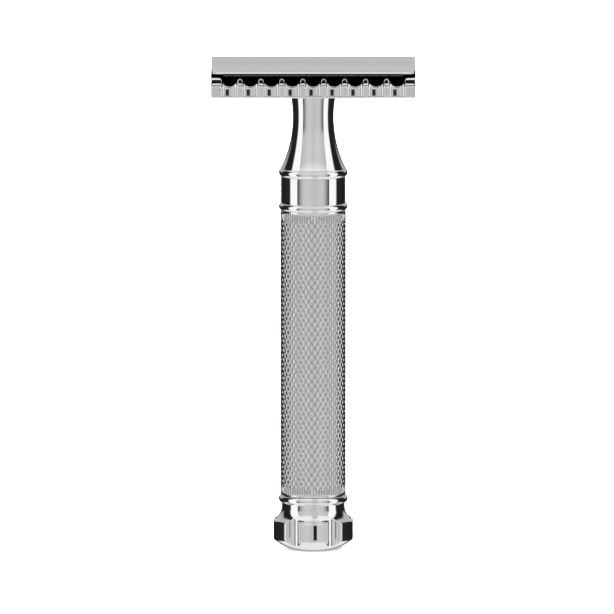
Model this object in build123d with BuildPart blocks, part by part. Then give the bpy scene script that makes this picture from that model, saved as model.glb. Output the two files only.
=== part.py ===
"""Safety razor with an open comb head and a twist knob, standing on its knob.

Millimetres, +Z up. The origin is the centre of the knob's flat end. The head's long
side runs along X and its two cutting edges face -Y and +Y.
"""

import os
from math import cos, radians, sin, sqrt

from build123d import *

os.makedirs("parts", exist_ok=True)

# --- knob -------------------------------------------------------------------------------
foot_radius = 3.8          # flat end that the razor stands on
rim_radius = 8.5           # lands of the fluted band
rim_bottom = 2.4
waist_radius = 6.6
waist_z = 9.0              # narrowest height of the concave flare
flare_radius = 3.0
knob_bead_radius = 7.25
knob_bead_bottom = 9.8
knob_top = 11.4
flute_count = 6
flute_radius = 1.9         # round cutter that mills each flute
flute_floor = 7.3          # distance of a flute's floor from the axis

# --- handle -----------------------------------------------------------------------------
seam = 0.1                 # gap between the turning knob and the handle
sleeve_bottom = knob_top + seam
sleeve_top = 71.1
sleeve_radius = 6.8
tube_radius = 5.5
tube_bore = 4.5
tube_bottom = 12.6
tube_top = 80.6
bead_ring_top = 72.6
bead_ring_radius = 7.2
collar_top = 78.1
collar_radius = 6.77
neck_bottom = 79.8
neck_top = 95.5
neck_waist_radius = 4.28
neck_waist_z = 90.5
neck_sweep = 24.0          # radius of the neck's long concave curve

# --- draw rod and its thread ------------------------------------------------------------
rod_radius = 2.0
rod_bottom = 4.5
rod_top = 88.5
running_gap = 0.05
socket_radius = 3.25
socket_bottom = 84.0
socket_top = 95.2
thread_radius = 2.5        # outer radius of the cap's M5 stud
stud_engagement = 4.4
screw_radius = 1.25

# --- head -------------------------------------------------------------------------------
head_length = 42.4
plate_bottom = neck_top
tooth_pitch = 4.33
gap_count = 9
gap_radius = 1.6           # round floor of the space between two teeth
tooth_tip_z = 99.7
tooth_front = 11.2
nose_radius = 2.25
nose_start_z = 97.9
bed_half_width = 8.7
trough_half_width = 6.3
trough_length = 34.0
trough_floor = 96.9
spigot_radius = 4.2
nut_radius = 5.8
nut_height = 1.6

cap_length = 42.3
cap_half_depth = 10.0
cap_top = 103.0
lip_bottom = 100.4
lip_height = 0.45
cap_middle_thickness = 1.45
pin_radius = 1.3
pin_spacing = 24.8
pin_gap = 0.1

blade_edge_length = 37.2
blade_length = 42.0
blade_width = 22.0
blade_thickness = 0.1
blade_tab_width = 13.0
blade_gap = 0.1            # play above and below the blade

# The cap's underside, the blade and the plate's bed are bent about one line along X.
cap_hollow_z = cap_top - cap_middle_thickness
hollow_sag = cap_hollow_z - lip_bottom
hollow_radius = (cap_half_depth**2 + hollow_sag**2) / (2 * hollow_sag)
bend_z = cap_hollow_z - hollow_radius
blade_outer = hollow_radius - blade_gap
blade_inner = blade_outer - blade_thickness
bed_radius = blade_inner - blade_gap


def height_on(radius, y):
    """Height above the knob's end of a curve of this radius, bent about the head's bend line."""
    return bend_z + sqrt(radius**2 - y**2)


def write(piece, name):
    """Label one finished piece and write it as a STEP file."""
    piece.part.label = name
    export_step(piece.part, f"parts/{name}.step")


def ring(outer, inner, bottom, top, name):
    """A plain turned ring or tube between two heights."""
    with BuildPart() as piece:
        with BuildSketch(Plane.XY.offset(bottom)):
            Circle(outer)
            Circle(inner, mode=Mode.SUBTRACT)
        extrude(amount=top - bottom)
    write(piece, name)


def bead_ring(bottom, top, crest, edge, name):
    """A turned ring with one round bead, threaded over the core tube."""
    middle = (bottom + top) / 2
    with BuildPart() as piece:
        with BuildSketch(Plane.XZ):
            with BuildLine():
                Polyline((edge, top), (tube_radius, top), (tube_radius, bottom), (edge, bottom))
                ThreePointArc((edge, bottom), (crest, middle), (edge, top))
            make_face()
        revolve(axis=Axis.Z)
    write(piece, name)


# --- knob: foot, fluted band, flare, bead and the spigot inside the handle ----------------
spigot_top = 16.0
knob_spigot_radius = tube_bore - 0.1
seal_bottom, seal_height, seal_depth = 13.4, 1.2, 0.9
plug_radius, plug_height = 3.4, 0.8
screw_head_radius, screw_head_height = 2.7, 1.6
screw_seat = 2.6
flare_end_z = waist_z - sqrt(flare_radius**2 - (waist_radius + flare_radius - rim_radius) ** 2)
flare_mid_z = waist_z - flare_radius * sin(radians(35))
flare_mid_r = waist_radius + flare_radius * (1 - cos(radians(35)))

with BuildPart() as knob:
    with BuildSketch(Plane.XZ):
        with BuildLine():
            Line((0, 0), (foot_radius, 0))
            ThreePointArc((foot_radius, 0), (6.5, 0.85), (8.1, 1.9))
            ThreePointArc((8.1, 1.9), (8.4, 2.2), (rim_radius, rim_bottom + 0.2))
            Line((rim_radius, rim_bottom + 0.2), (rim_radius, flare_end_z))
            ThreePointArc((rim_radius, flare_end_z), (flare_mid_r, flare_mid_z), (waist_radius, waist_z))
            Line((waist_radius, waist_z), (waist_radius, knob_bead_bottom))
            bead_middle = (knob_bead_bottom + knob_top) / 2
            ThreePointArc(
                (waist_radius, knob_bead_bottom), (knob_bead_radius, bead_middle), (sleeve_radius, knob_top)
            )
            Polyline(
                (sleeve_radius, knob_top),
                (knob_spigot_radius, knob_top),
                (knob_spigot_radius, spigot_top),
                (0, spigot_top),
                (0, 0),
            )
        make_face()
    revolve(axis=Axis.Z)
    with PolarLocations(flute_floor + flute_radius, flute_count, start_angle=-60):
        Cylinder(flute_radius, waist_z, align=(Align.CENTER, Align.CENTER, Align.MIN), mode=Mode.SUBTRACT)
    with BuildSketch(Plane.XY.offset(seal_bottom)):
        Circle(knob_spigot_radius)
        Circle(knob_spigot_radius - seal_depth, mode=Mode.SUBTRACT)
    extrude(amount=seal_height, mode=Mode.SUBTRACT)
    with BuildSketch(Plane.XY.offset(rod_bottom)):
        Circle(rod_radius)
    extrude(amount=spigot_top - rod_bottom, mode=Mode.SUBTRACT)
    with BuildSketch(Plane.XY.offset(screw_seat)):
        Circle(screw_radius)
    extrude(amount=rod_bottom - screw_seat, mode=Mode.SUBTRACT)
    with BuildSketch(Plane.XY):
        Circle(screw_head_radius)
    extrude(amount=screw_seat, mode=Mode.SUBTRACT)
    with BuildSketch(Plane.XY):
        Circle(plug_radius)
    extrude(amount=plug_height, mode=Mode.SUBTRACT)
write(knob, "knob")

with BuildPart() as end_plug:
    with BuildSketch(Plane.XY):
        Circle(plug_radius)
    extrude(amount=plug_height)
write(end_plug, "end_plug")

ring(tube_radius - 0.1, knob_spigot_radius, knob_top, tube_bottom - seam, "thrust_washer")

with BuildPart() as seal_ring:
    seal_section = seal_height / 2 - 0.1
    with BuildSketch(Plane.XZ):
        with Locations((knob_spigot_radius - seal_depth + seal_section, seal_bottom + seal_height / 2)):
            Circle(seal_section)
    revolve(axis=Axis.Z)
write(seal_ring, "seal_ring")

# --- draw rod, its screw at the knob and its threaded socket at the head ------------------
tapped_depth = 5.0
cross_pin_radius, cross_pin_height = 0.75, 2.2   # pin that locks the socket to the rod
bore_relief = 0.6          # plain bore left above the rod's end
end_chamfer = 0.3
with BuildPart() as draw_rod:
    with BuildSketch(Plane.XY.offset(rod_bottom)):
        Circle(rod_radius)
    extrude(amount=rod_top - rod_bottom)
    chamfer(draw_rod.edges().group_by(Axis.Z)[-1], end_chamfer)
    with BuildSketch(Plane.XY.offset(rod_bottom)):
        Circle(screw_radius)
    extrude(amount=tapped_depth, mode=Mode.SUBTRACT)
    with Locations(Location((0, 0, socket_bottom + cross_pin_height), (90, 0, 0))):
        Cylinder(cross_pin_radius, 2 * socket_radius + 1, mode=Mode.SUBTRACT)
write(draw_rod, "draw_rod")

with BuildPart() as knob_screw:
    with BuildSketch(Plane.XY.offset(screw_seat)):
        Circle(screw_radius)
    extrude(amount=rod_bottom + tapped_depth - 0.4 - screw_seat)
    with BuildSketch(Plane.XY.offset(screw_seat)):
        Circle(screw_head_radius - 0.1)
    extrude(amount=-screw_head_height)
    with BuildSketch(Plane.XY.offset(screw_seat - screw_head_height)):
        RegularPolygon(1.1, 6)
    extrude(amount=1.0, mode=Mode.SUBTRACT)
write(knob_screw, "knob_screw")

stud_bottom = socket_top - stud_engagement
with BuildPart() as threaded_socket:
    with BuildSketch(Plane.XY.offset(socket_bottom)):
        Circle(socket_radius)
    extrude(amount=socket_top - socket_bottom)
    chamfer(threaded_socket.edges().group_by(Axis.Z)[0], end_chamfer)
    with BuildSketch(Plane.XY.offset(socket_bottom)):
        Circle(rod_radius)
    extrude(amount=rod_top - socket_bottom, mode=Mode.SUBTRACT)
    with BuildSketch(Plane.XY.offset(rod_top + bore_relief)):
        Circle(thread_radius + running_gap)
    extrude(amount=socket_top - rod_top, mode=Mode.SUBTRACT)
    with Locations(Location((0, 0, socket_bottom + cross_pin_height), (90, 0, 0))):
        Cylinder(cross_pin_radius, 2 * socket_radius + 1, mode=Mode.SUBTRACT)
write(threaded_socket, "threaded_socket")

with BuildPart() as socket_pin:
    with Locations(Location((0, 0, socket_bottom + cross_pin_height), (90, 0, 0))):
        Cylinder(cross_pin_radius, 2 * socket_radius - 0.3)
    chamfer(socket_pin.edges().filter_by(GeomType.CIRCLE), end_chamfer / 2)
write(socket_pin, "socket_pin")

# --- handle: core tube, bushes, engraved sleeve, beads and collar -------------------------
with BuildPart() as core_tube:
    with BuildSketch(Plane.XY.offset(tube_bottom)):
        Circle(tube_radius)
        Circle(tube_bore, mode=Mode.SUBTRACT)
    extrude(amount=tube_top - tube_bottom)
    chamfer(core_tube.edges().group_by(Axis.Z)[-1], end_chamfer)
write(core_tube, "core_tube")

ring(sleeve_radius, tube_radius, sleeve_bottom, sleeve_top, "grip_sleeve")
bush_height, bush_clearance = 4.6, 1.0
lower_bush_bottom = spigot_top + bush_clearance
lower_bead_edge, upper_bead_edge = 6.75, 6.7
ring(tube_bore, rod_radius + running_gap, lower_bush_bottom, lower_bush_bottom + bush_height, "lower_bush")
ring(tube_bore, rod_radius + running_gap, tube_top - bush_height, tube_top, "upper_bush")
bead_ring(sleeve_top, bead_ring_top, bead_ring_radius, lower_bead_edge, "lower_bead_ring")
ring(collar_radius, tube_radius, bead_ring_top, collar_top, "collar")
bead_ring(collar_top, neck_bottom, bead_ring_radius, upper_bead_edge, "upper_bead_ring")

# --- neck: long concave curve, a counterbore over the tube and a threaded spigot on top ---
neck_foot_radius = neck_waist_radius + neck_sweep - sqrt(neck_sweep**2 - (neck_waist_z - neck_bottom) ** 2)
neck_head_radius = neck_waist_radius + neck_sweep - sqrt(neck_sweep**2 - (neck_top - neck_waist_z) ** 2)
spigot_end = trough_floor + nut_height
with BuildPart() as neck:
    with BuildSketch(Plane.XZ):
        with BuildLine():
            Polyline(
                (neck_head_radius, neck_top),
                (spigot_radius, neck_top),
                (spigot_radius, spigot_end),
                (0, spigot_end),
                (0, neck_bottom),
                (neck_foot_radius, neck_bottom),
            )
            ThreePointArc(
                (neck_foot_radius, neck_bottom), (neck_waist_radius, neck_waist_z), (neck_head_radius, neck_top)
            )
        make_face()
    revolve(axis=Axis.Z)
    with BuildSketch(Plane.XY.offset(neck_bottom)):
        Circle(tube_radius)
    extrude(amount=tube_top - neck_bottom, mode=Mode.SUBTRACT)
    with BuildSketch(Plane.XY.offset(neck_bottom)):
        Circle(socket_radius + running_gap)
    extrude(amount=spigot_end - neck_bottom, mode=Mode.SUBTRACT)
write(neck, "neck")

# --- comb plate ---------------------------------------------------------------------------
tooth_top_y = tooth_front - nose_radius + sqrt(nose_radius**2 - (tooth_tip_z - nose_start_z) ** 2)
nose_mid_y = tooth_front - nose_radius * (1 - cos(radians(27)))
nose_mid_z = nose_start_z + nose_radius * sin(radians(27))
bed_top_y = 4.0
groove_z = 98.9
tooth_land, groove_width, foot_bevel = 0.5, 0.25, 0.35


def half_plate():
    """Right half of the plate's cross-section through a tooth, from the middle to the tooth's front."""
    bed_edge_z = height_on(bed_radius, bed_half_width)
    bed_mid = (bed_half_width + bed_top_y) / 2
    Polyline((0, plate_bottom), (tooth_front - foot_bevel, plate_bottom), (tooth_front, plate_bottom + foot_bevel))
    Line((tooth_front, plate_bottom + foot_bevel), (tooth_front, nose_start_z))
    ThreePointArc((tooth_front, nose_start_z), (nose_mid_y, nose_mid_z), (tooth_top_y, tooth_tip_z))
    Polyline(
        (tooth_top_y, tooth_tip_z),
        (tooth_top_y - tooth_land, tooth_tip_z),
        (bed_half_width + groove_width, groove_z),
        (bed_half_width, groove_z),
        (bed_half_width, bed_edge_z),
    )
    ThreePointArc(
        (bed_half_width, bed_edge_z),
        (bed_mid, height_on(bed_radius, bed_mid)),
        (bed_top_y, height_on(bed_radius, bed_top_y)),
    )
    Line((bed_top_y, height_on(bed_radius, bed_top_y)), (0, height_on(bed_radius, bed_top_y)))


gap_places = [(index - (gap_count - 1) / 2) * tooth_pitch for index in range(gap_count)]
scoop_width, scoop_corner = 3.0, 0.7
scoop_back_y = 10.45       # back wall of the upright scoop under each space
strip_height = 0.4         # solid strip left under each scoop
bed_length = blade_edge_length

with BuildPart() as comb_plate:
    with BuildSketch(Plane.YZ):
        with BuildLine():
            half_plate()
            Line((0, plate_bottom), (0, height_on(bed_radius, bed_top_y)))
        make_face()
        mirror(about=Plane.YZ)
    extrude(amount=head_length / 2, both=True)
    # spaces between the teeth: a round floor, open upwards and towards the front
    for side in (-1, 1):
        with Locations(*[(x, side * (bed_half_width + 1.75), tooth_tip_z) for x in gap_places]):
            Cylinder(gap_radius, 3.5, rotation=(90, 0, 0), mode=Mode.SUBTRACT)
            Box(2 * gap_radius, 3.5, 3, align=(Align.CENTER, Align.CENTER, Align.MIN), mode=Mode.SUBTRACT)
        # upright scoop with round corners in the front face under each space
        with BuildSketch(Plane.XY.offset(plate_bottom + strip_height)):
            with Locations(*[(x, side * (scoop_back_y + scoop_corner)) for x in gap_places]):
                SlotOverall(scoop_width, 2 * scoop_corner)
        extrude(amount=3, mode=Mode.SUBTRACT)
    # trough under the blade for the nut and the guide pins
    with BuildSketch(Plane.XY.offset(trough_floor)):
        RectangleRounded(trough_length, 2 * trough_half_width, 2)
    extrude(amount=8, mode=Mode.SUBTRACT)
    with BuildSketch(Plane.XY.offset(plate_bottom)):
        Circle(spigot_radius)
    extrude(amount=4, mode=Mode.SUBTRACT)
    with BuildSketch(Plane.XY.offset(plate_bottom)):
        with GridLocations(pin_spacing, 1, 2, 1):
            Circle(pin_radius + pin_gap)
    extrude(amount=4, mode=Mode.SUBTRACT)
write(comb_plate, "comb_plate")

with BuildPart() as plate_nut:
    with BuildSketch(Plane.XY.offset(trough_floor)):
        Circle(nut_radius)
        Circle(spigot_radius, mode=Mode.SUBTRACT)
        with PolarLocations(nut_radius, 4):
            Rectangle(1.4, 1.6, mode=Mode.SUBTRACT)
    extrude(amount=nut_height)
    chamfer(plate_nut.edges().group_by(Axis.Z)[-1].filter_by(GeomType.CIRCLE), 0.2)
write(plate_nut, "plate_nut")

# --- blade: bent double-edge blade with end tabs and a keyed middle slot ------------------
with BuildPart() as double_edge_blade:
    edge_y = blade_outer * sin(blade_width / 2 / blade_outer)
    with BuildSketch(Plane.YZ):
        with BuildLine():
            edge_inner_y = edge_y - 0.25
            ThreePointArc(
                (-edge_y, height_on(blade_outer, edge_y)),
                (0, bend_z + blade_outer),
                (edge_y, height_on(blade_outer, edge_y)),
            )
            Line((edge_y, height_on(blade_outer, edge_y)), (edge_inner_y, height_on(blade_inner, edge_inner_y)))
            ThreePointArc(
                (edge_inner_y, height_on(blade_inner, edge_inner_y)),
                (0, bend_z + blade_inner),
                (-edge_inner_y, height_on(blade_inner, edge_inner_y)),
            )
            Line((-edge_inner_y, height_on(blade_inner, edge_inner_y)), (-edge_y, height_on(blade_outer, edge_y)))
        make_face()
    extrude(amount=blade_length / 2, both=True)
    with BuildSketch(Plane.XY.offset(plate_bottom)):
        Rectangle(blade_edge_length, 2 * blade_width)
        Rectangle(2 * blade_length, blade_tab_width)
    extrude(amount=10, mode=Mode.INTERSECT)
    with BuildSketch(Plane.XY.offset(plate_bottom)):
        SlotOverall(pin_spacing + 8, 2.2)
        Circle(thread_radius + 0.4)
        with GridLocations(pin_spacing, 1, 2, 1):
            Circle(pin_radius + 0.3)
    extrude(amount=10, mode=Mode.SUBTRACT)
write(double_edge_blade, "double_edge_blade")

# --- cap with its stud and guide pins -----------------------------------------------------
socket_depth = 0.9
lip_top = lip_bottom + lip_height
cap_edge_y = cap_half_depth - 0.1
lip_bevel = 0.15
with BuildPart() as cap:
    with BuildSketch(Plane.YZ):
        with BuildLine():
            ThreePointArc((-cap_edge_y, lip_top), (0, cap_top), (cap_edge_y, lip_top))
            Polyline((cap_edge_y, lip_top), (cap_half_depth, lip_top - lip_bevel), (cap_half_depth, lip_bottom))
            ThreePointArc((cap_half_depth, lip_bottom), (0, cap_hollow_z), (-cap_half_depth, lip_bottom))
            Polyline((-cap_half_depth, lip_bottom), (-cap_half_depth, lip_top - lip_bevel), (-cap_edge_y, lip_top))
        make_face()
    extrude(amount=cap_length / 2, both=True)
    with BuildSketch(Plane.XY.offset(plate_bottom)):
        RectangleRounded(cap_length, 2 * cap_half_depth, 1.0)
    extrude(amount=10, mode=Mode.INTERSECT)
    with BuildSketch(Plane.XY.offset(cap_hollow_z + socket_depth)):
        Circle(thread_radius)
        with GridLocations(pin_spacing, 1, 2, 1):
            Circle(pin_radius)
    extrude(amount=-3, mode=Mode.SUBTRACT)
write(cap, "cap")

with BuildPart() as cap_stud:
    with BuildSketch(Plane.XY.offset(stud_bottom)):
        Circle(thread_radius)
    extrude(amount=cap_hollow_z + socket_depth - stud_bottom)
    chamfer(cap_stud.edges().group_by(Axis.Z)[0], 0.5)
write(cap_stud, "cap_stud")

pin_bottom = 96.5
with BuildPart() as guide_pins:
    with BuildSketch(Plane.XY.offset(pin_bottom)):
        with GridLocations(pin_spacing, 1, 2, 1):
            Circle(pin_radius)
    extrude(amount=cap_hollow_z + socket_depth - pin_bottom)
    chamfer(guide_pins.edges().group_by(Axis.Z)[0], end_chamfer)
write(guide_pins, "guide_pins")
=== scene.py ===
"""Looks of a twist-open safety razor: chrome head, engraved grip and fluted knob.

Every surface is worked out in millimetres in the razor's own frame and scaled to metres
when its mesh is made. Each panel button of the add-on builds one piece or one group of
like pieces, and the last one sets up the floor, the lights and the camera.
"""

from math import cos, pi, radians, sin, sqrt

import bpy
import numpy as np
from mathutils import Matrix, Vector


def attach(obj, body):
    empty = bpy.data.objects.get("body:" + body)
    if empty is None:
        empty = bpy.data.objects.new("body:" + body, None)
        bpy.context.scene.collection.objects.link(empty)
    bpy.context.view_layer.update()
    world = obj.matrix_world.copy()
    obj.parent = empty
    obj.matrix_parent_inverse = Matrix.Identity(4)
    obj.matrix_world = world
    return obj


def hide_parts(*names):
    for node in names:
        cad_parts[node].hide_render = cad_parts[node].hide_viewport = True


bl_info = {
    "name": "Safety razor looks",
    "version": (1, 0, 0),
    "blender": (4, 5, 0),
    "location": "View3D > Sidebar > Razor",
    "description": "Builds the visible surfaces of a safety razor around its packed frame",
    "category": "Add Mesh",
}

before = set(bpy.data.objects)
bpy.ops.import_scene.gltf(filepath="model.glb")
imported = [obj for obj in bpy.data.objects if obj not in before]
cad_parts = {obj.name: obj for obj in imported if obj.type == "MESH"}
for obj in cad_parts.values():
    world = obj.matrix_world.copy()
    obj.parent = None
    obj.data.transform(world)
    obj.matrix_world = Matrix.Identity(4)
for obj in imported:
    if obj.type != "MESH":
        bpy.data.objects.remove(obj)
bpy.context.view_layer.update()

MM = 0.001
FIELD_WIDTH = 0.1277          # metres across the picture at the razor
CAMERA_AIM = (-1.3, 0, 50.7)  # millimetres

# --- heights and radii of the razor, in millimetres ---------------------------------------
FOOT_RADIUS, RIM_RADIUS, RIM_BOTTOM = 3.8, 8.5, 2.4
WAIST_RADIUS, WAIST_Z, FLARE_RADIUS = 6.6, 9.0, 3.0
KNOB_BEAD_BOTTOM, KNOB_BEAD_RADIUS, KNOB_TOP = 9.8, 7.25, 11.4
FLUTE_COUNT, FLUTE_AXIS, FLUTE_RADIUS = 6, 9.2, 1.9
SLEEVE_BOTTOM, SLEEVE_TOP, SLEEVE_RADIUS, TUBE_RADIUS = 11.5, 71.1, 6.8, 5.5
BEAD_TOP, COLLAR_TOP, COLLAR_RADIUS = 72.6, 78.1, 6.77
BEAD_CREST, LOWER_BEAD_EDGE, UPPER_BEAD_EDGE = 7.2, 6.75, 6.7
NECK_BOTTOM, NECK_TOP, NECK_WAIST_RADIUS, NECK_WAIST_Z, NECK_SWEEP = 79.8, 95.5, 4.28, 90.5, 24.0
SPIGOT_RADIUS, SPIGOT_TOP, BORE_RADIUS, TUBE_TOP = 4.2, 98.5, 3.3, 80.6

KNOB_SPIGOT_RADIUS, KNOB_SPIGOT_TOP = 4.4, 16.0
SEAL_GROOVE_RADIUS, SEAL_GROOVE_BOTTOM, SEAL_GROOVE_TOP = 3.5, 13.4, 14.6
ROD_SOCKET_RADIUS, ROD_SOCKET_BOTTOM = 2.0, 4.5
SCREW_HOLE_RADIUS, SCREW_HEAD_RADIUS, SCREW_HEAD_TOP = 1.25, 2.7, 2.6
PLUG_RADIUS, PLUG_TOP = 3.4, 0.8

HEAD_LENGTH, TOOTH_PITCH, GAP_COUNT, GAP_RADIUS = 42.4, 4.33, 9, 1.6
TOOTH_TIP_Z, TOOTH_FRONT, NOSE_RADIUS, NOSE_START_Z = 99.7, 11.2, 3.65, 97.3
SCOOP_FLAT, SCOOP_CORNER, SCOOP_BACK_Y, SCOOP_BOTTOM = 0.72, 1.0, 10.45, 95.9
SCOOP_BOW, SCOOP_LEAN, RECESS_START_Y = 8.0, -0.026, 9.9
BED_HALF_WIDTH, BED_FLAT_Y, GROOVE_Z = 8.7, 4.0, 98.9
TROUGH_HALF_WIDTH, TROUGH_HALF_LENGTH, TROUGH_FLOOR, TROUGH_CORNER = 6.3, 17.0, 96.9, 2.0

CAP_LENGTH, CAP_HALF_DEPTH, CAP_TOP, CAP_CORNER = 42.3, 10.0, 103.0, 1.0
LIP_BOTTOM, LIP_TOP, CAP_HOLLOW_Z = 100.4, 100.92, 101.55
HOLLOW_SAG = CAP_HOLLOW_Z - LIP_BOTTOM
HOLLOW_RADIUS = (CAP_HALF_DEPTH**2 + HOLLOW_SAG**2) / (2 * HOLLOW_SAG)
BED_RADIUS = HOLLOW_RADIUS - 0.3
BEND_Z = CAP_HOLLOW_Z - HOLLOW_RADIUS
CROWN_SAG = CAP_TOP - LIP_TOP
CROWN_RADIUS = (CAP_HALF_DEPTH**2 + CROWN_SAG**2) / (2 * CROWN_SAG)

THREAD_RADIUS, THREAD_PITCH, THREAD_DEPTH = 2.5, 0.8, 0.42
STUD_BOTTOM, STUD_TOP = 90.8, 102.4


# --- meshes ------------------------------------------------------------------------------
def grid_faces(rows, columns, wrap_rows=False, wrap_columns=False):
    """Quads of a rows x columns grid of points; a wrapped direction joins its ends."""
    r, c = np.meshgrid(
        np.arange(rows if wrap_rows else rows - 1),
        np.arange(columns if wrap_columns else columns - 1),
        indexing="ij",
    )
    r_next, c_next = (r + 1) % rows, (c + 1) % columns
    corners = [r * columns + c, r * columns + c_next, r_next * columns + c_next, r_next * columns + c]
    return np.stack(corners, -1).reshape(-1, 4)


def volume(points, faces):
    """Signed volume inside the faces: the sum of a . (b x c) / 6 over each quad's two triangles."""
    a, b, c, d = (points[faces[:, k]] for k in range(4))
    return np.einsum("ij,ij->", a, np.cross(b, c) + np.cross(c, d)) / 6


def add_piece(name, points, faces, body, nodes, material, shade_smooth=True):
    """One closed mesh object from millimetre points and quads, facing outwards, riding on a body."""
    points = points.reshape(-1, 3)
    if volume(points, faces) < 0:
        faces = faces[:, ::-1]
    mesh = bpy.data.meshes.new(name)
    mesh.vertices.add(len(points))
    mesh.vertices.foreach_set("co", (points * MM).astype(np.float32).ravel())
    mesh.loops.add(faces.size)
    mesh.loops.foreach_set("vertex_index", faces.astype(np.int32).ravel())
    mesh.polygons.add(len(faces))
    mesh.polygons.foreach_set("loop_start", np.arange(0, faces.size, 4, dtype=np.int32))
    mesh.polygons.foreach_set("use_smooth", np.full(len(faces), shade_smooth))
    mesh.update(calc_edges=True)
    mesh.validate()
    mesh.materials.append(material)
    piece = bpy.data.objects.new(name, mesh)
    bpy.context.scene.collection.objects.link(piece)
    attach(piece, body)
    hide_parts(*nodes)
    return piece


def rounded(outline, radii, steps=5):
    """Closed outline with its corners rounded off.

    A corner p between neighbours a and b becomes the curve (1-t)^2 s + 2 t (1-t) p + t^2 e,
    where s and e lie on the two sides at the corner's radius from p. One more point on each
    side keeps the flats beside it flat. Points with radius 0 stay as they are.
    """
    outline, radii = np.asarray(outline, float), np.asarray(radii, float)[:, None]
    back, ahead = np.roll(outline, 1, 0) - outline, np.roll(outline, -1, 0) - outline
    back_length = np.linalg.norm(back, axis=1, keepdims=True)
    ahead_length = np.linalg.norm(ahead, axis=1, keepdims=True)
    cut = np.minimum(radii, 0.3 * np.minimum(back_length, ahead_length))
    start, end = outline + back / back_length * cut, outline + ahead / ahead_length * cut
    t = np.linspace(0, 1, steps + 1)[None, :, None]
    arcs = (1 - t) ** 2 * start[:, None] + 2 * t * (1 - t) * outline[:, None] + t**2 * end[:, None]
    before, after = outline + 1.5 * (start - outline), outline + 1.5 * (end - outline)
    path = np.concatenate([before[:, None], arcs, after[:, None]], axis=1).reshape(-1, 2)
    return path[np.linalg.norm(path - np.roll(path, 1, 0), axis=1) > 1e-5]


def arc(start, middle, end, count):
    """Points along the circle through three (r, z) points, from the first to the last."""
    (ax, ay), (bx, by), (cx, cy) = start, middle, end
    d = 2 * (ax * (by - cy) + bx * (cy - ay) + cx * (ay - by))
    a2, b2, c2 = ax**2 + ay**2, bx**2 + by**2, cx**2 + cy**2
    ux = (a2 * (by - cy) + b2 * (cy - ay) + c2 * (ay - by)) / d
    uy = (a2 * (cx - bx) + b2 * (ax - cx) + c2 * (bx - ax)) / d
    angles = np.unwrap(np.arctan2([ay - uy, by - uy, cy - uy], [ax - ux, bx - ux, cx - ux]))
    angle = np.linspace(angles[0], angles[2], count)
    radius = sqrt((ax - ux) ** 2 + (ay - uy) ** 2)
    return np.stack([ux + radius * np.cos(angle), uy + radius * np.sin(angle)], 1)


def outline_of(*parts):
    """Joins (points, corner radius) parts into one rounded closed outline."""
    points = np.concatenate([np.atleast_2d(np.asarray(p, float)) for p, _ in parts])
    radii = np.concatenate([np.full(len(np.atleast_2d(p)), r, float) for p, r in parts])
    return rounded(points, radii)


def turned(outline, count=192):
    """Surface swept by a closed (r, z) outline about Z: x = r cos a, y = r sin a, a = 2 pi i / count."""
    angle = np.arange(count)[:, None] * 2 * pi / count
    r, z = outline[None, :, 0], outline[None, :, 1]
    points = np.stack(np.broadcast_arrays(r * np.cos(angle), r * np.sin(angle), z), -1)
    return points, grid_faces(count, len(outline), True, True)


def soft_min(a, b, width):
    """Smaller of a and b, with the crossing rounded over about the given width."""
    gap = np.clip((b - a) / width, -1, 1)
    return np.where(np.abs(b - a) >= width, np.minimum(a, b), (a + b) / 2 - width * (1 + gap**2) / 4)


def neck_surface():
    """Turned neck with a spigot on top and a bore.

    Its side is the concave arc r = waist + R - sqrt(R^2 - (z - waist z)^2).
    """
    z = np.linspace(NECK_BOTTOM, NECK_TOP, 90)
    r = NECK_WAIST_RADIUS + NECK_SWEEP - np.sqrt(NECK_SWEEP**2 - (z - NECK_WAIST_Z) ** 2)
    side = np.stack([r, z], 1)
    inside = [
        (SPIGOT_RADIUS, NECK_TOP), (SPIGOT_RADIUS, SPIGOT_TOP), (BORE_RADIUS, SPIGOT_TOP),
        (BORE_RADIUS, TUBE_TOP), (TUBE_RADIUS, TUBE_TOP), (TUBE_RADIUS, NECK_BOTTOM),
    ]
    return turned(outline_of((side[:1], 0.06), (side[1:-1], 0), (side[-1:], 0.06), (inside, 0.05)))


def bead_surface(bottom, top, edge):
    """Turned ring whose outside is one round bead: an arc from edge to crest to edge."""
    bead = arc((edge, bottom), (BEAD_CREST, (bottom + top) / 2), (edge, top), 25)
    return turned(outline_of((bead, 0), ([(TUBE_RADIUS, top), (TUBE_RADIUS, bottom)], 0.05)))


def collar_surface():
    """Plain turned collar between the two beads, with softened ends."""
    corners = [
        (COLLAR_RADIUS, BEAD_TOP), (COLLAR_RADIUS, COLLAR_TOP),
        (TUBE_RADIUS, COLLAR_TOP), (TUBE_RADIUS, BEAD_TOP),
    ]
    return turned(outline_of((corners, 0.08)))


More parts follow.
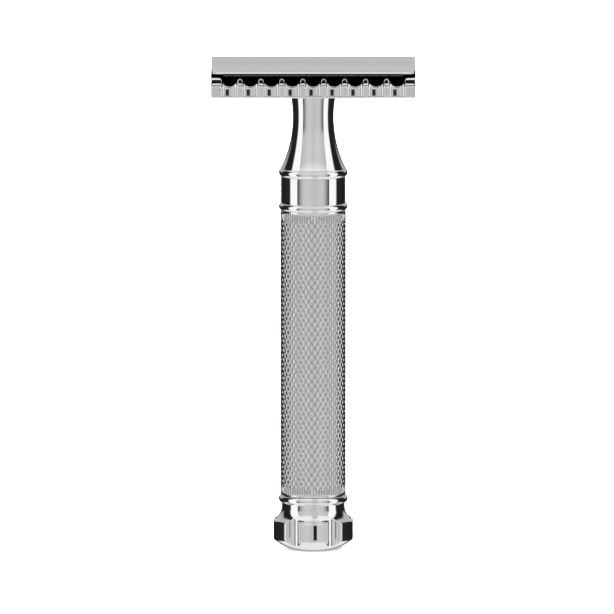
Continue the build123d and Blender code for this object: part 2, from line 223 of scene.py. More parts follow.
def knob_surface():
    """Turned knob cut by round flutes.

    The turned radius r(z) is held under the cutter's near side, which at an angle a from a
    flute's middle is c cos a - sqrt(q^2 - c^2 sin^2 a) for a cutter of radius q whose axis
    is c from the knob's axis.
    """
    flare_end_z = WAIST_Z - sqrt(FLARE_RADIUS**2 - (WAIST_RADIUS + FLARE_RADIUS - RIM_RADIUS) ** 2)
    flare_centre = WAIST_RADIUS + FLARE_RADIUS
    flare_z = WAIST_Z - (WAIST_Z - flare_end_z) * np.linspace(1, 0, 40)
    flare_r = flare_centre - np.sqrt(FLARE_RADIUS**2 - (WAIST_Z - flare_z) ** 2)
    bead_middle = (KNOB_BEAD_BOTTOM + KNOB_TOP) / 2
    bead_start, bead_end = (WAIST_RADIUS, KNOB_BEAD_BOTTOM), (SLEEVE_RADIUS, KNOB_TOP)
    bead = arc(bead_start, (KNOB_BEAD_RADIUS, bead_middle), bead_end, 22)
    inside = [
        (KNOB_SPIGOT_RADIUS, KNOB_TOP), (KNOB_SPIGOT_RADIUS, SEAL_GROOVE_BOTTOM),
        (SEAL_GROOVE_RADIUS, SEAL_GROOVE_BOTTOM), (SEAL_GROOVE_RADIUS, SEAL_GROOVE_TOP),
        (KNOB_SPIGOT_RADIUS, SEAL_GROOVE_TOP), (KNOB_SPIGOT_RADIUS, KNOB_SPIGOT_TOP),
        (ROD_SOCKET_RADIUS, KNOB_SPIGOT_TOP), (ROD_SOCKET_RADIUS, ROD_SOCKET_BOTTOM),
        (SCREW_HOLE_RADIUS, ROD_SOCKET_BOTTOM), (SCREW_HOLE_RADIUS, SCREW_HEAD_TOP),
        (SCREW_HEAD_RADIUS, SCREW_HEAD_TOP), (SCREW_HEAD_RADIUS, PLUG_TOP),
        (PLUG_RADIUS, PLUG_TOP), (PLUG_RADIUS, 0.0),
    ]
    foot_end = (8.1, 1.9)
    outline = outline_of(
        ([(FOOT_RADIUS, 0.0)], 0),
        (arc((FOOT_RADIUS, 0), (6.5, 0.85), foot_end, 34)[1:], 0),
        (arc(foot_end, (8.4, 2.2), (RIM_RADIUS, RIM_BOTTOM + 0.2), 8)[1:], 0),
        (np.stack([np.full(5, RIM_RADIUS), np.linspace(RIM_BOTTOM + 0.5, flare_end_z - 0.3, 5)], 1), 0),
        (np.stack([flare_r, flare_z], 1), 0),
        ([(WAIST_RADIUS, 9.3), (WAIST_RADIUS, 9.7)], 0),
        (bead, 0),
        (inside, 0.04),
    )
    count = 480
    angle = np.arange(count)[:, None] * 2 * pi / count
    step = 2 * pi / FLUTE_COUNT
    from_flute = (angle + step / 2) % step - step / 2
    reach = FLUTE_RADIUS**2 - (FLUTE_AXIS * np.sin(from_flute)) ** 2
    cutter = FLUTE_AXIS * np.cos(from_flute) - np.sqrt(np.maximum(reach, 0)) + 5.0 * (reach < 0)
    r, z = outline[None, :, 0], outline[None, :, 1]
    cut = np.where(z < WAIST_Z, soft_min(r, cutter, 0.14), r)
    points = np.stack(np.broadcast_arrays(cut * np.cos(angle), cut * np.sin(angle), z), -1)
    return points, grid_faces(count, len(outline), True, True)


def grip_surface(lines, period, swing, depth):
    """Sleeve cut with wavy upright grooves, and how deep each point lies, which also sets where the grooves
    get painted shade.

    Groove k of n runs at the turn u = k + (-1)^k swing cos(2 pi z / period), so neighbours
    close up and part in turn and leave barleycorn cells. The radius is lowered by
    depth (1 - d^2 / w^2)^2 at a distance d below w from the nearest groove.
    """
    count, rows = 6 * lines, 236
    margin, straight = 0.45, 1.1
    z = np.linspace(SLEEVE_BOTTOM + 0.4, SLEEVE_TOP - 0.4, rows)
    z = np.concatenate([[SLEEVE_BOTTOM, SLEEVE_BOTTOM + 0.12], z, [SLEEVE_TOP - 0.12, SLEEVE_TOP]])
    inset = np.zeros(len(z))
    inset[[0, -1]] = 0.1
    u = np.arange(count)[:, None] * lines / count
    from_end = np.minimum(z - SLEEVE_BOTTOM, SLEEVE_TOP - z)[None, :]
    growth = np.clip((from_end - margin - straight) / 0.5, 0, 1)
    wave = swing * growth * np.cos(2 * pi * (z[None, :] - SLEEVE_BOTTOM) / period)
    nearest = np.full(np.broadcast_shapes(u.shape, wave.shape), 9.0)
    for k in (-1, 0, 1, 2):
        groove = np.floor(u) + k
        nearest = np.minimum(nearest, np.abs(u - groove - np.where(groove % 2 == 0, 1, -1) * wave))
    width = 0.48
    # How deep each point lies; the material also paints shade into the grooves by this weight.
    hollow_and_shade = np.clip(1 - (nearest / width) ** 2, 0, 1) ** 2 * np.clip((from_end - margin) / 0.15, 0, 1)
    outer = SLEEVE_RADIUS - inset[None, :] - depth * hollow_and_shade
    r = np.concatenate([outer, np.full((count, 2), TUBE_RADIUS)], 1)
    heights = np.concatenate([z, [SLEEVE_TOP, SLEEVE_BOTTOM]])[None, :]
    hollow_and_shade = np.concatenate([hollow_and_shade, np.zeros((count, 2))], 1)
    angle = np.arange(count)[:, None] * 2 * pi / count - pi / 2
    points = np.stack(np.broadcast_arrays(r * np.cos(angle), r * np.sin(angle), heights), -1)
    return points, grid_faces(count, len(z) + 2, True, True), hollow_and_shade


def comb_surface():
    """Comb plate: a closed (y, z) outline carried along X, with its front lowered at every gap.

    A tooth's outline runs up its face, round its nose and back to the bed. At a distance d
    from a gap's middle it is held under z = tip - sqrt(R^2 - d^2), the gap's round floor, and
    behind the upright scoop, a bowed wall with a round corner on each side; the crossings
    are softened, and a small brow rounds the edge between floor and scoop. The third value
    is painted shade on the recess behind the teeth, which is also made rougher: it rises
    from 0 to 1 going in from RECESS_START_Y.
    """
    half = HEAD_LENGTH / 2
    gaps = (np.arange(GAP_COUNT) - (GAP_COUNT - 1) / 2) * TOOTH_PITCH
    swing = np.sin(np.linspace(-pi / 2, pi / 2, 27)) * (GAP_RADIUS - 1e-4)
    flats = np.linspace(0.12, 0.88, 5) * (TOOTH_PITCH - 2 * GAP_RADIUS)
    in_gap = (gaps[:, None] + swing[None, :]).ravel()
    on_tooth = (gaps[:-1, None] + GAP_RADIUS + flats[None, :]).ravel()
    lug_start = gaps[-1] + GAP_RADIUS
    edge = 0.15
    lug = np.concatenate([lug_start + np.linspace(0.1, 1, 4) ** 2 * 0.6, [half - 2 * edge]])
    x = np.sort(np.concatenate([in_gap, on_tooth, lug, -lug]))
    turn = np.linspace(0, pi / 2, 5)
    x_end = half - edge + edge * np.sin(turn)
    x = np.concatenate([-x_end[::-1], x, x_end])
    shrink = np.zeros(len(x))
    shrink[:5] = edge * (1 - np.cos(turn[::-1]))
    shrink[-5:] = edge * (1 - np.cos(turn))

    d = np.min(np.abs(x[:, None] - gaps[None, :]), axis=1)[:, None]
    gap_floor = TOOTH_TIP_Z - np.sqrt(np.maximum(GAP_RADIUS**2 - d**2, 0))
    floor = np.where(d < GAP_RADIUS, gap_floor, TOOTH_TIP_Z + 2)
    to_tooth = np.clip(TOOTH_PITCH / 2 - d, 0, None) / (TOOTH_PITCH / 2 - GAP_RADIUS)
    on_comb = np.abs(x)[:, None] < lug_start + 0.3
    crest = TOOTH_TIP_Z - 0.5 * (1 - np.sqrt(np.clip(1 - to_tooth**2, 0, 1))) * on_comb
    corner_run = np.clip(d - SCOOP_FLAT, 0, SCOOP_CORNER)
    wall = SCOOP_BACK_Y + np.minimum(d, SCOOP_FLAT) ** 2 / (2 * SCOOP_BOW)
    scoop = wall + SCOOP_CORNER - np.sqrt(SCOOP_CORNER**2 - corner_run**2)
    scoop = scoop + 3 * (d >= SCOOP_FLAT + SCOOP_CORNER)

    nose_y = TOOTH_FRONT - NOSE_RADIUS
    tip_y = nose_y + sqrt(NOSE_RADIUS**2 - (TOOTH_TIP_Z - NOSE_START_Z) ** 2)
    nose_turn = np.arctan2(TOOTH_TIP_Z - NOSE_START_Z, tip_y - nose_y)
    angles = np.linspace(0, nose_turn, 18)
    face_z = np.linspace(SCOOP_BOTTOM + 0.12, NOSE_START_Z - 0.1, 8)
    face_z = np.concatenate([[SCOOP_BOTTOM + 0.02], face_z])
    face = np.stack([np.full(len(face_z), TOOTH_FRONT), face_z], 1)
    nose = np.stack([nose_y + NOSE_RADIUS * np.cos(angles), NOSE_START_Z + NOSE_RADIUS * np.sin(angles)], 1)
    back_y = np.linspace(tip_y - 0.08, BED_HALF_WIDTH + 0.25, 9)
    back = np.stack([back_y, np.linspace(TOOTH_TIP_Z - 0.02, GROOVE_Z, 9)], 1)
    back[:3, 1] = TOOTH_TIP_Z
    front = np.concatenate([face, nose, back, [(BED_HALF_WIDTH + 0.05, GROOVE_Z)]])
    bed_y = np.linspace(BED_HALF_WIDTH, TROUGH_HALF_WIDTH + 0.1, 8)
    bed = np.stack([bed_y, BEND_Z + np.sqrt(BED_RADIUS**2 - bed_y**2)], 1)

    brow = 0.65
    brow_turn = np.linspace(0, pi / 2, len(nose))
    after = len(front) - len(face) - len(nose)
    behind = -brow - np.linspace(0.002, 0.02, after)
    ahead = np.concatenate([np.zeros(len(face)), brow * (np.cos(brow_turn) - 1), behind])
    below = np.concatenate([np.full(len(face), -brow), brow * (np.sin(brow_turn) - 1), np.zeros(after)])
    lean = (front[None, :, 1] - SCOOP_BOTTOM) * SCOOP_LEAN
    held_y = np.broadcast_to(front[None, :, 0], (len(x), len(front)))
    held_z = np.minimum(front[None, :, 1], crest)
    scoop_softness, floor_softness = 0.16, 0.12
    y = soft_min(held_y, scoop + ahead[None, :] + lean, scoop_softness)
    z = soft_min(held_z, floor + below[None, :], floor_softness)
    ledge = np.linspace(0, 1, 4)[None, 1:-1, None]
    foot = np.array([
        [1.0, NECK_TOP], [9.0, NECK_TOP], [TOOTH_FRONT - 0.35, NECK_TOP],
        [TOOTH_FRONT - 0.12, NECK_TOP + 0.1], [TOOTH_FRONT, NECK_TOP + 0.28], [TOOTH_FRONT, SCOOP_BOTTOM],
    ])
    foot = np.broadcast_to(foot[None], (len(x), len(foot), 2))
    rise = np.stack([y, z], -1)
    shelf = foot[:, -1:, :] + (rise[:, :1, :] - foot[:, -1:, :]) * ledge
    top = np.broadcast_to(bed[None], (len(x), len(bed), 2))

    inner = np.clip((np.abs(x) - (TROUGH_HALF_LENGTH - TROUGH_CORNER)) / TROUGH_CORNER, 0, 1)
    wall_y = (TROUGH_HALF_WIDTH - TROUGH_CORNER + TROUGH_CORNER * np.sqrt(1 - inner**2))[:, None]
    in_trough = (np.abs(x) < TROUGH_HALF_LENGTH)[:, None]
    across = np.array([1.0, 0.999, 0.7, 0.35, 0.05])[None, :]
    trough_y = wall_y * across
    bed_z = BEND_Z + np.sqrt(BED_RADIUS**2 - np.maximum(trough_y, BED_FLAT_Y) ** 2)
    trough_z = np.where(in_trough & (across < 1), TROUGH_FLOOR, bed_z)
    trough = np.stack([trough_y, trough_z], -1)
    side = np.concatenate([foot, shelf, rise, top, trough], axis=1)

    # The end loops draw in towards one point of the section, which rounds the plate's ends.
    section_middle = np.array([7.0, 97.6])
    inward = section_middle - side
    inward /= np.maximum(np.linalg.norm(inward, axis=-1, keepdims=True), 1e-6)
    outside = np.ones(side.shape[1])
    outside[0] = outside[-4:] = 0
    side = side + inward * shrink[:, None, None] * outside[None, :, None]

    other = side[:, ::-1] * np.array([-1, 1])
    loop = np.concatenate([side, other], axis=1)
    count = loop.shape[1]
    points = np.concatenate([np.broadcast_to(x[:, None, None], (len(x), count, 1)), loop], -1)
    faces = grid_faces(len(x), count, False, True)
    from_middle = np.abs(points[..., 1])
    # Painted shade: the recess between the teeth and the blade bed is darkened where its shade falls.
    recess_shade = np.clip((RECESS_START_Y - from_middle) / 0.4, 0, 1) * (from_middle > BED_HALF_WIDTH - 0.02)
    recess_shade = recess_shade * (points[..., 2] > SCOOP_BOTTOM)
    return points, close_ends(points, faces), recess_shade


def close_ends(points, faces):
    """Closes the two ends of a lofted surface with quads between the mirrored halves of each loop.

    Point k of a loop faces point count - 1 - k, so quad k joins k and k + 1 to the two they face.
    """
    rows, count = points.shape[:2]
    k = np.arange(count // 2 - 1)
    strip = np.stack([k, k + 1, count - 2 - k, count - 1 - k], 1)
    last = strip + (rows - 1) * count
    return np.concatenate([faces, strip[:, ::-1], last])


def cap_surface():
    """Cap: a crowned strip lofted along X, its lips and ends rounded by one small radius.

    A point is core + p n. The core runs between the crown arc and the hollow arc, p inside
    both, over the half depth h(x), which shrinks at the plan corners as c - sqrt(c^2 - t^2).
    The direction n turns from up, round the lip, to down, and at each end towards X.
    """
    edge, end_steps, lip_steps, low_steps, crown_steps = 0.1, 5, 6, 4, 61
    half = CAP_LENGTH / 2 - edge
    corner = CAP_CORNER
    t = np.linspace(0, 1, 12)
    near_end = half - corner + corner * np.sin(t * pi / 2)
    flat_end = half - corner - 0.3
    x = np.concatenate([-near_end[::-1], np.linspace(-flat_end, flat_end, 60), near_end])
    turn = np.linspace(0, 1.5, end_steps + 1)[1:]
    x_core = np.concatenate([np.full(end_steps, -half), x, np.full(end_steps, half)])
    lean = np.concatenate([-turn[::-1], np.zeros(len(x)), turn])
    past = np.clip(np.abs(x_core) - (half - corner), 0, corner)
    depth = (CAP_HALF_DEPTH - edge) - (corner - np.sqrt(corner**2 - past**2))

    a = np.linspace(-1, 1, crown_steps)
    crown_tilt = np.arcsin(a * CAP_HALF_DEPTH / CROWN_RADIUS)
    hollow_tilt = np.arcsin(a[::-1] * CAP_HALF_DEPTH / HOLLOW_RADIUS)
    right = np.linspace(crown_tilt[-1], pi / 2, lip_steps + 1)[1:]
    right_low = np.linspace(pi / 2, pi - hollow_tilt[0], low_steps + 1)[:-1]
    lip = np.ones(lip_steps + low_steps)
    across = np.concatenate([a, lip, a[::-1], -lip])
    upper = np.repeat([1, 0, 1], [crown_steps + lip_steps, crown_steps + 2 * low_steps, lip_steps])
    left_low, left = 2 * pi - right_low[::-1], -right[::-1]
    tilt = np.concatenate([crown_tilt, right, right_low, pi - hollow_tilt, left_low, left])
    y_core = across[None, :] * depth[:, None]
    crown = CAP_TOP - CROWN_RADIUS + np.sqrt((CROWN_RADIUS - edge) ** 2 - y_core**2)
    hollow = BEND_Z + np.sqrt((HOLLOW_RADIUS + edge) ** 2 - y_core**2)
    z_core = np.where(upper[None, :] > 0, crown, hollow)
    side = np.cos(lean)[:, None]
    points = np.stack([
        x_core[:, None] + edge * np.sin(lean)[:, None] + 0 * y_core,
        y_core + edge * side * np.sin(tilt)[None, :],
        z_core + edge * side * np.cos(tilt)[None, :],
    ], -1)
    # Each loop starts halfway down the left lip, so that its points face each other in pairs.
    points = np.roll(points, (lip_steps + low_steps) // 2, axis=1)
    return points, close_ends(points, grid_faces(*points.shape[:2], False, True))


def stud_surface():
    """Threaded stud: r = R - depth |2 frac(z / pitch - a / 2 pi) - 1|, tapered at its free end."""
    rows, count = 160, 96
    z = np.linspace(STUD_BOTTOM, STUD_TOP, rows)[None, :]
    angle = np.arange(count)[:, None] * 2 * pi / count
    turn = (z / THREAD_PITCH - angle / (2 * pi)) % 1
    r = THREAD_RADIUS - THREAD_DEPTH * np.abs(2 * turn - 1)
    r = np.minimum(r, THREAD_RADIUS - 0.5 + (z - STUD_BOTTOM))
    r = np.concatenate([np.full((count, 1), 0.02), r, np.full((count, 1), 0.02)], 1)
    z = np.concatenate([[[STUD_BOTTOM]], z, [[STUD_TOP]]], 1)
    points = np.stack(np.broadcast_arrays(r * np.cos(angle), r * np.sin(angle), z), -1)
    return points, grid_faces(count, rows + 2, True, True)


# --- materials ---------------------------------------------------------------------------
BRASS_LIGHT, BRASS_DARK = (0.83, 0.6, 0.27), (0.68, 0.45, 0.17)
CHROME_LIGHT, CHROME_DARK = (0.93, 0.93, 0.935), (0.88, 0.88, 0.885)
GRAIN_PER_HAZE = 14           # how much finer the grain is than the haze
HOLLOW_ROUGHNESS = 0.12     # added where the attribute is 1
RELIEF = 0.00002              # height of the grain, in metres


def metal(name, light, dark, roughness, spots, stretch=(1, 1, 1), bump=0.0, hollow_shade_colour=None):
    """Metal whose tone and polish wander with two noises in object space, stretched along the work.

    With the last argument, a colour, points where the mask attribute is 1 take that colour, a painted shade
    in grooves and recesses, and are rougher.
    """
    material = bpy.data.materials.new(name)
    material.use_nodes = True
    tree = material.node_tree
    tree.nodes.clear()

    def node(kind, **values):
        made = tree.nodes.new(kind)
        for key, value in values.items():
            setattr(made, key, value)
        return made

    output, shader = node("ShaderNodeOutputMaterial"), node("ShaderNodeBsdfPrincipled")
    shader.inputs["Metallic"].default_value = 1.0
    coords, mapping = node("ShaderNodeTexCoord"), node("ShaderNodeMapping")
    mapping.inputs["Scale"].default_value = stretch
    tree.links.new(coords.outputs["Object"], mapping.inputs["Vector"])
    haze, grain = node("ShaderNodeTexNoise"), node("ShaderNodeTexNoise")
    haze.inputs["Scale"].default_value, haze.inputs["Detail"].default_value = spots, 3.0
    grain.inputs["Scale"].default_value, grain.inputs["Detail"].default_value = spots * GRAIN_PER_HAZE, 4.0
    tree.links.new(mapping.outputs["Vector"], haze.inputs["Vector"])
    tree.links.new(mapping.outputs["Vector"], grain.inputs["Vector"])
    tone = node("ShaderNodeMix", data_type="RGBA")
    tone.inputs["A"].default_value, tone.inputs["B"].default_value = (*dark, 1), (*light, 1)
    tree.links.new(haze.outputs["Fac"], tone.inputs["Factor"])
    polish = node("ShaderNodeMapRange")
    polish.inputs["From Min"].default_value, polish.inputs["From Max"].default_value = 0.3, 0.7
    polish.inputs["To Min"].default_value, polish.inputs["To Max"].default_value = roughness
    tree.links.new(grain.outputs["Fac"], polish.inputs["Value"])
    colour, rough = tone.outputs["Result"], polish.outputs["Result"]
    if hollow_shade_colour:
        # Painted shade: the mask attribute mixes the shade colour into grooves and recesses.
        groove = node("ShaderNodeAttribute", attribute_name="hollow_and_shade")
        deep = node("ShaderNodeMix", data_type="RGBA")
        deep.inputs["B"].default_value = (*hollow_shade_colour, 1)
        tree.links.new(groove.outputs["Fac"], deep.inputs["Factor"])
        tree.links.new(colour, deep.inputs["A"])
        rougher = node("ShaderNodeMath", operation="MULTIPLY_ADD")
        rougher.inputs[1].default_value = HOLLOW_ROUGHNESS
        tree.links.new(groove.outputs["Fac"], rougher.inputs[0])
        tree.links.new(rough, rougher.inputs[2])
        colour, rough = deep.outputs["Result"], rougher.outputs["Value"]
    tree.links.new(colour, shader.inputs["Base Color"])
    tree.links.new(rough, shader.inputs["Roughness"])
    relief = node("ShaderNodeBump")
    relief.inputs["Strength"].default_value, relief.inputs["Distance"].default_value = bump, RELIEF
    tree.links.new(grain.outputs["Fac"], relief.inputs["Height"])
    tree.links.new(relief.outputs["Normal"], shader.inputs["Normal"])
    tree.links.new(shader.outputs["BSDF"], output.inputs["Surface"])
    return material


def plastic(name, light, dark, roughness, spots):
    """Nylon or rubber: a mottled tone, a wandering roughness and a fine moulded grain."""
    material = metal(name, light, dark, roughness, spots, bump=0.25)
    shader = next(n for n in material.node_tree.nodes if n.type == "BSDF_PRINCIPLED")
    shader.inputs["Metallic"].default_value = 0.0
    return material


def chrome(settings, name="polished chrome"):
    """Mirror chrome plate, one material for every piece that is bright all over."""
    found = bpy.data.materials.get(name)
    low = settings.chrome_roughness
    return found or metal(name, CHROME_LIGHT, CHROME_DARK, (low, low * 1.8), 240, bump=0.02)


# --- add-on ------------------------------------------------------------------------------
class RazorSettings(bpy.types.PropertyGroup):
    """Sizes and finishes that the panel lets a person change."""

    grip_lines: bpy.props.IntProperty(
        name="Grip lines", description="Engraved grooves round the sleeve", default=72, min=12, max=76)
    grip_period: bpy.props.FloatProperty(
        name="Grip wave", description="Length of one wave of a groove, in millimetres", default=1.96, min=0.5)
    grip_swing: bpy.props.FloatProperty(
        name="Grip swing", description="Sideways swing of a groove, as a share of the groove spacing",
        default=0.38, min=0, max=0.5)
    grip_depth: bpy.props.FloatProperty(
        name="Engraving depth", description="Depth of the grooves, in millimetres",
        default=0.19, min=0, max=0.4)
    chrome_roughness: bpy.props.FloatProperty(
        name="Chrome roughness", description="Least roughness of the chrome", default=0.03, min=0, max=1,
        subtype="FACTOR")
    camera_distance: bpy.props.FloatProperty(
        name="Camera distance", description="Distance from the camera to the razor",
        default=3.0, unit="LENGTH")
    camera_height: bpy.props.FloatProperty(
        name="Camera elevation", description="Angle of the camera above the horizon", default=radians(7),
        subtype="ANGLE")


class RAZOR_OT_handle(bpy.types.Operator):
    """Add the grooved sleeve, with painted shade in its grooves"""

    bl_idname = "razor.handle"
    bl_label = "Neck, beads and collar"

    def execute(self, context):
        material = chrome(context.scene.razor)
        for name, (points, faces) in {
            "neck": neck_surface(),
            "lower_bead_ring": bead_surface(SLEEVE_TOP, BEAD_TOP, LOWER_BEAD_EDGE),
            "collar": collar_surface(),
            "upper_bead_ring": bead_surface(COLLAR_TOP, NECK_BOTTOM, UPPER_BEAD_EDGE),
        }.items():
            add_piece(name + "_finish", points, faces, "handle", [name], material)
        return {"FINISHED"}


class RAZOR_OT_grip(bpy.types.Operator):
    """Add the engraved sleeve"""

    bl_idname = "razor.grip"
    bl_label = "Engraved sleeve"

    def execute(self, context):
        s = context.scene.razor
        points, faces, hollow_and_shade = grip_surface(s.grip_lines, s.grip_period, s.grip_swing, s.grip_depth)
        # The mid grey groove colour is painted shade in the grooves.
        material = metal("engraved chrome", (0.95, 0.94, 0.935), (0.88, 0.875, 0.87), (0.08, 0.16), 300,
                         bump=0.03, hollow_shade_colour=(0.5, 0.49, 0.485))
        piece = add_piece("grip_sleeve_finish", points, faces, "handle", ["grip_sleeve"],
                          material)
        attribute = piece.data.attributes.new("hollow_and_shade", "FLOAT", "POINT")
        attribute.data.foreach_set("value", hollow_and_shade.astype(np.float32).ravel())
        return {"FINISHED"}


class RAZOR_OT_knob(bpy.types.Operator):
    """Add the fluted twist knob"""

    bl_idname = "razor.knob"
    bl_label = "Twist knob"

    def execute(self, context):
        points, faces = knob_surface()
        material = chrome(context.scene.razor)
        add_piece("knob_finish", points, faces, "twist_knob", ["knob"], material)
        return {"FINISHED"}


class RAZOR_OT_head(bpy.types.Operator):
    """Add the comb plate, the cap and its threaded stud"""

    bl_idname = "razor.head"
    bl_label = "Comb, cap and stud"

    def execute(self, context):
        material = chrome(context.scene.razor)
        points, faces, recess_shade = comb_surface()
        # The near black colour of the recess is painted shade, with added roughness.
        plated = metal("chrome with painted recess shade", CHROME_LIGHT, CHROME_DARK, (0.03, 0.06), 240,
                       bump=0.02, hollow_shade_colour=(0.012, 0.012, 0.012))
        piece = add_piece("comb_plate_finish", points, faces, "handle", ["comb_plate"],
                          plated)
        attribute = piece.data.attributes.new("hollow_and_shade", "FLOAT", "POINT")
        attribute.data.foreach_set("value", recess_shade.astype(np.float32).ravel())
        points, faces = cap_surface()
        add_piece("cap_finish", points, faces, "top_cap", ["cap"], material)
        points, faces = stud_surface()
        brass = metal("threaded brass", BRASS_LIGHT, BRASS_DARK, (0.16, 0.3), 400, (1, 1, 4), 0.2)
        add_piece("cap_stud_finish", points, faces, "top_cap", ["cap_stud"], brass)
        return {"FINISHED"}


class RAZOR_OT_inside(bpy.types.Operator):
    """Finish the blade and the pieces inside the handle"""

    bl_idname = "razor.inside"
    bl_label = "Blade and inner pieces"

    def execute(self, context):
        steel = metal("machined steel", (0.66, 0.67, 0.68), (0.52, 0.53, 0.55), (0.18, 0.32), 260,
                      (1, 1, 9), 0.2)
        blade = metal("blade steel", (0.5, 0.5, 0.52), (0.38, 0.39, 0.41), (0.08, 0.16), 180,
                      (1, 18, 1), 0.12)
        brass = metal("turned brass", BRASS_LIGHT, BRASS_DARK, (0.16, 0.3), 300, (1, 1, 12), 0.2)
        nylon = plastic("white nylon", (0.82, 0.82, 0.8), (0.72, 0.72, 0.69), (0.4, 0.55), 400)
        rubber = plastic("black rubber", (0.03, 0.03, 0.03), (0.015, 0.015, 0.015), (0.55, 0.75), 600)
        finishes = {
            "double_edge_blade": blade, "end_plug": chrome(context.scene.razor), "core_tube": steel,
            "knob_screw": steel, "draw_rod": steel, "socket_pin": steel, "guide_pins": steel,
            "plate_nut": brass, "threaded_socket": brass, "upper_bush": nylon, "lower_bush": nylon,
            "thrust_washer": nylon, "seal_ring": rubber,
        }
        for name, material in finishes.items():
            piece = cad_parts[name]
            piece.data.materials.clear()
            piece.data.materials.append(material)
        return {"FINISHED"}


def grey(value):
    """A neutral colour of the given brightness."""
    return (value, value, value, 1)


def ramp(tree, stops):
    """Colour ramp of grey stops, each (position, brightness)."""
    made = tree.nodes.new("ShaderNodeValToRGB")
    elements = made.color_ramp.elements
    while len(elements) > 1:
        elements.remove(elements[-1])
    elements[0].position, elements[0].color = stops[0][0], grey(stops[0][1])
    for position, value in stops[1:]:
        elements.new(position).color = grey(value)
    return made


# Brightness of the tent at eye level, halfway up and high up, as (turn from the front / 180 degrees,
# grey). The spans on the next line, and the rig's heights, are of z, the sine of the elevation.
LOW_TO_MIDDLE, MIDDLE_TO_HIGH, ZENITH, GROUND = (0.0, 0.2), (0.55, 0.75), (0.975, 0.995), (-0.6, -0.45)
ZENITH_GREY, GROUND_GREY, RIG_GREY = 0.6, 0.82, 0.02
RIG_TURNS = (0.004, 0.012), (0.09, 0.08)
RIG_HEIGHTS = (-0.09, -0.085), (-0.02, -0.026)
LOW_RING = [(0.0, 0.5), (0.02, 0.52), (0.08, 0.6), (0.2, 0.56), (0.27, 0.28), (0.31, 0.06), (0.324, 0.04),
            (0.328, 1.0), (0.48, 1.0), (0.51, 0.02), (0.8, 0.012), (0.9, 0.2), (1.0, 0.3)]
MIDDLE_RING = [(0.0, 0.54), (0.03, 0.58), (0.12, 0.64), (0.29, 0.52), (0.318, 0.42), (0.324, 1.0),
               (0.49, 1.0), (0.52, 0.015), (0.7, 0.012), (0.77, 0.44), (1.0, 0.52)]
HIGH_RING = [(0.0, 0.85), (0.3, 0.9), (0.5, 0.9), (0.53, 0.02), (0.66, 0.03), (0.73, 0.5), (1.0, 0.56)]


def studio_world():
    """Grey tent with white and black bands, given by the turn from the front and the elevation.

    A small dark rig stands low, just off the front. Camera rays see plain white.
    """
    world = bpy.data.worlds.new("studio tent")
    world.use_nodes = True
    tree = world.node_tree
    tree.nodes.clear()

    def calc(operation, *inputs):
        made = tree.nodes.new("ShaderNodeMath")
        made.operation = operation
        for socket, value in zip(made.inputs, inputs):
            if hasattr(value, "links"):
                tree.links.new(value, socket)
            else:
                socket.default_value = value
        return made.outputs["Value"]

    def mix(factor, a, b):
        made = tree.nodes.new("ShaderNodeMix")
        made.data_type = "RGBA"
        tree.links.new(factor, made.inputs["Factor"])
        for name, value in (("A", a), ("B", b)):
            if hasattr(value, "links"):
                tree.links.new(value, made.inputs[name])
            else:
                made.inputs[name].default_value = value
        return made.outputs["Result"]

    def smooth(value, low, high):
        made = tree.nodes.new("ShaderNodeMapRange")
        made.interpolation_type = "SMOOTHSTEP"
        tree.links.new(value, made.inputs["Value"])
        made.inputs["From Min"].default_value, made.inputs["From Max"].default_value = low, high
        return made.outputs["Result"]

    coords, split = tree.nodes.new("ShaderNodeTexCoord"), tree.nodes.new("ShaderNodeSeparateXYZ")
    tree.links.new(coords.outputs["Generated"], split.inputs["Vector"])
    x, y, z = (split.outputs[k] for k in "XYZ")
    turn = calc("DIVIDE", calc("ARCTAN2", x, calc("MULTIPLY", y, -1.0)), pi)
    around = calc("ABSOLUTE", turn)
    rings = []
    for stops in (LOW_RING, MIDDLE_RING, HIGH_RING):
        ring = ramp(tree, stops)
        tree.links.new(around, ring.inputs["Fac"])
        rings.append(ring.outputs["Color"])
    low, middle, high = rings
    height = calc("MULTIPLY", *(smooth(z, *span) for span in RIG_HEIGHTS))
    side = calc("MULTIPLY", *(smooth(turn, *span) for span in RIG_TURNS))
    low = mix(calc("MULTIPLY", side, height), low, grey(RIG_GREY))
    sky = mix(smooth(z, *MIDDLE_TO_HIGH), mix(smooth(z, *LOW_TO_MIDDLE), low, middle), high)
    sky = mix(smooth(z, *ZENITH), sky, grey(ZENITH_GREY))
    ground = mix(smooth(z, *GROUND), grey(GROUND_GREY), sky)
    path = tree.nodes.new("ShaderNodeLightPath")
    seen = mix(path.outputs["Is Camera Ray"], ground, grey(1))
    background, output = tree.nodes.new("ShaderNodeBackground"), tree.nodes.new("ShaderNodeOutputWorld")
    background.inputs["Strength"].default_value = 1.05
    tree.links.new(seen, background.inputs["Color"])
    tree.links.new(background.outputs["Background"], output.inputs["Surface"])
    return world


# Upright studio cards: name, span along X, Y, span in height and brightness, in millimetres
CARDS = [
    ("head_flag", (-23, 23), -18, (101.0, 113), 0.01),
    ("lip_card", (-20.9, 20.9), -14, (99.85, 100.7), 1.0),
    ("grey_board", (-3, 12), -40, (6, 91), 0.57),
    ("knob_flag", (0.4, 4.6), -30, (-0.4, 3.6), 0.012),
]


def card(context, name, corners, brightness):
    """A flat studio card, seen only in mirror reflections, with its corners in millimetres."""
    mesh = bpy.data.meshes.new(name)
    mesh.from_pydata((np.array(corners) * MM).tolist(), [], [(0, 1, 2, 3)])
    material = bpy.data.materials.new(name)
    material.use_nodes = True
    tree = material.node_tree
    tree.nodes.clear()
    output, emission = tree.nodes.new("ShaderNodeOutputMaterial"), tree.nodes.new("ShaderNodeEmission")
    emission.inputs["Color"].default_value = grey(brightness)
    tree.links.new(emission.outputs["Emission"], output.inputs["Surface"])
    mesh.materials.append(material)
    piece = bpy.data.objects.new(name, mesh)
    context.scene.collection.objects.link(piece)
    piece.visible_camera = piece.visible_diffuse = piece.visible_shadow = False


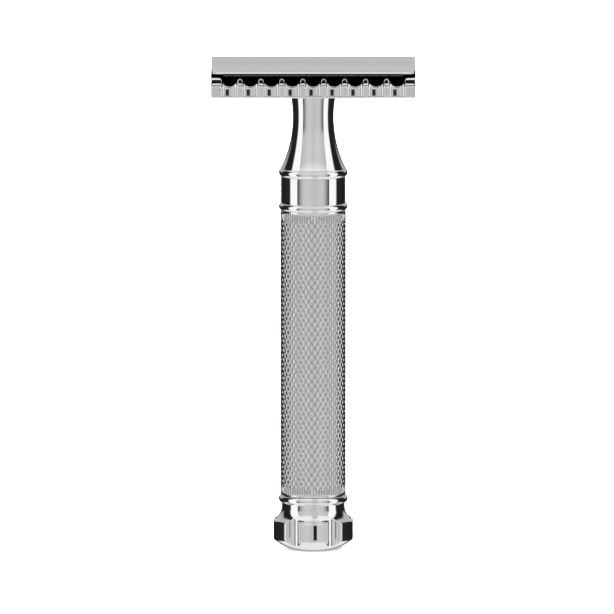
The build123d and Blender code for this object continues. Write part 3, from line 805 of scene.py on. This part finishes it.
class RAZOR_OT_stage(bpy.types.Operator):
    """Set up the floor, the studio cards, the light and the camera"""

    bl_idname = "razor.stage"
    bl_label = "Stage"

    def execute(self, context):
        s = context.scene.razor
        count, reach = 33, 4.0
        side = np.linspace(-reach, reach, count)
        gx, gy = np.meshgrid(side, side, indexing="ij")
        points = np.stack([gx, gy, np.zeros_like(gx)], -1).reshape(-1, 3)
        mesh = bpy.data.meshes.new("floor")
        mesh.from_pydata(points.tolist(), [], grid_faces(count, count)[:, ::-1].tolist())
        floor = bpy.data.objects.new("floor", mesh)
        context.scene.collection.objects.link(floor)
        paper = plastic("white paper", (0.95, 0.95, 0.95), (0.93, 0.93, 0.93), (0.8, 0.9), 20)
        mesh.materials.append(paper)
        floor.visible_glossy = False

        for name, (low_x, high_x), y, (low_z, high_z), brightness in CARDS:
            corners = [(low_x, y, low_z), (high_x, y, low_z), (high_x, y, high_z), (low_x, y, high_z)]
            card(context, name, corners, brightness)

        lamp = bpy.data.lights.new("soft sun", "SUN")
        lamp.energy, lamp.angle = 14.0, radians(160)
        sun = bpy.data.objects.new("soft sun", lamp)
        sun.rotation_euler = (radians(12), radians(-8), 0)
        sun.visible_glossy = False
        context.scene.collection.objects.link(sun)

        context.scene.world = studio_world()
        context.scene.view_settings.view_transform = "Standard"

        lens = bpy.data.cameras.new("camera")
        lens.sensor_width = 36.0
        lens.lens = lens.sensor_width * s.camera_distance / FIELD_WIDTH
        lens.clip_start, lens.clip_end = 0.05, 20.0
        camera = bpy.data.objects.new("camera", lens)
        aim = Vector(CAMERA_AIM) * MM
        back = Vector((0, -cos(s.camera_height), sin(s.camera_height)))
        camera.location = aim + back * s.camera_distance
        camera.rotation_euler = (-back).to_track_quat("-Z", "Y").to_euler()
        context.scene.collection.objects.link(camera)
        context.scene.camera = camera
        return {"FINISHED"}


class RAZOR_PT_panel(bpy.types.Panel):
    """Buttons for the razor's pieces"""

    bl_idname = "RAZOR_PT_panel"
    bl_label = "Safety razor"
    bl_space_type = "VIEW_3D"
    bl_region_type = "UI"
    bl_category = "Razor"

    def draw(self, context):
        for name in RazorSettings.__annotations__:
            self.layout.prop(context.scene.razor, name)
        for operator in OPERATORS:
            self.layout.operator(operator.bl_idname)


OPERATORS = (RAZOR_OT_handle, RAZOR_OT_grip, RAZOR_OT_knob, RAZOR_OT_head, RAZOR_OT_inside, RAZOR_OT_stage)
CLASSES = (RazorSettings, *OPERATORS, RAZOR_PT_panel)


def register():
    for item in CLASSES:
        bpy.utils.register_class(item)
    bpy.types.Scene.razor = bpy.props.PointerProperty(type=RazorSettings)


def unregister():
    del bpy.types.Scene.razor
    for item in reversed(CLASSES):
        bpy.utils.unregister_class(item)


def main():
    """Register the add-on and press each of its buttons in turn."""
    register()
    bpy.ops.razor.handle()
    bpy.ops.razor.grip()
    bpy.ops.razor.knob()
    bpy.ops.razor.head()
    bpy.ops.razor.inside()
    bpy.ops.razor.stage()


if __name__ == "__main__":
    main()
